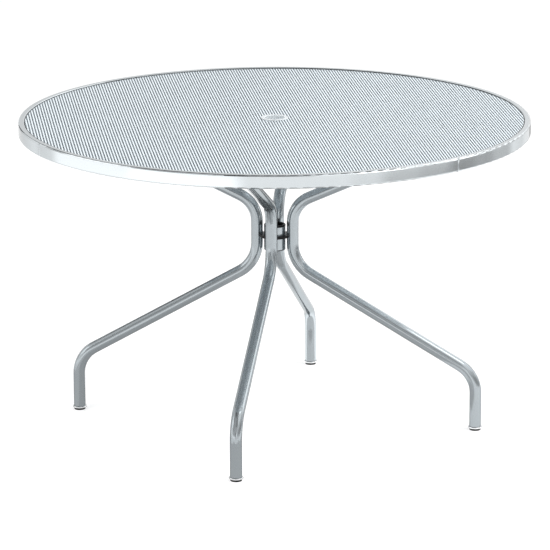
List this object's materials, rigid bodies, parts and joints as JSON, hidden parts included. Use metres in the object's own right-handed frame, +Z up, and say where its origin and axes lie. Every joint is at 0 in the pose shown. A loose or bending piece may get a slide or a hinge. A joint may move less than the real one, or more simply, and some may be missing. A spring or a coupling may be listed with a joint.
{
  "type": "umbrella table",
  "caption": "Round metal garden table with a fine mesh top in a tubular rim, an umbrella hole, and bent tube legs that meet at a central sleeve.",
  "frame": {"origin": "on the floor, on the axis of the umbrella hole", "axes": "+Z up along the umbrella pole; +X and +Y each along a leg"},
  "size_m": [1.2, 1.2, 0.74],
  "materials": {
    "silver_paint": "silver-grey powder coat, satin",
    "mesh_paint": "silver-grey powder coat on diamond mesh, satin",
    "black_plastic": "black, matte",
    "zinc_steel": "zinc plated",
    "cap_steel": "bright, slightly rough",
    "black_coat": "black dip coat, satin"
  },
  "bodies": {
    "root": {"rim_ring": "silver_paint", "mesh_panel": "mesh_paint", "umbrella_ring": "silver_paint", "support_bar_right": "silver_paint", "bar_pad_right": "silver_paint", "arm_plate_right": "silver_paint", "leg_right": "silver_paint", "arm_plug_right": "black_plastic", "foot_cap_right": "cap_steel", "foot_glide_right": "black_plastic", "support_bar_rear": "silver_paint", "bar_pad_rear": "silver_paint", "arm_plate_rear": "silver_paint", "leg_rear": "silver_paint", "arm_plug_rear": "black_plastic", "foot_cap_rear": "cap_steel", "foot_glide_rear": "black_plastic", "support_bar_left": "silver_paint", "bar_pad_left": "silver_paint", "arm_plate_left": "silver_paint", "leg_left": "silver_paint", "arm_plug_left": "black_plastic", "foot_cap_left": "cap_steel", "foot_glide_left": "black_plastic", "support_bar_front": "silver_paint", "bar_pad_front": "silver_paint", "arm_plate_front": "silver_paint", "leg_front": "silver_paint", "arm_plug_front": "black_plastic", "foot_cap_front": "cap_steel", "foot_glide_front": "black_plastic", "hub_sleeve": "silver_paint", "hub_plate": "black_coat", "upper_pole_bush": "black_plastic", "lower_pole_bush": "black_plastic", "top_bolts": "zinc_steel", "top_washers": "zinc_steel", "top_nuts": "zinc_steel"}
  },
  "joints": []
}
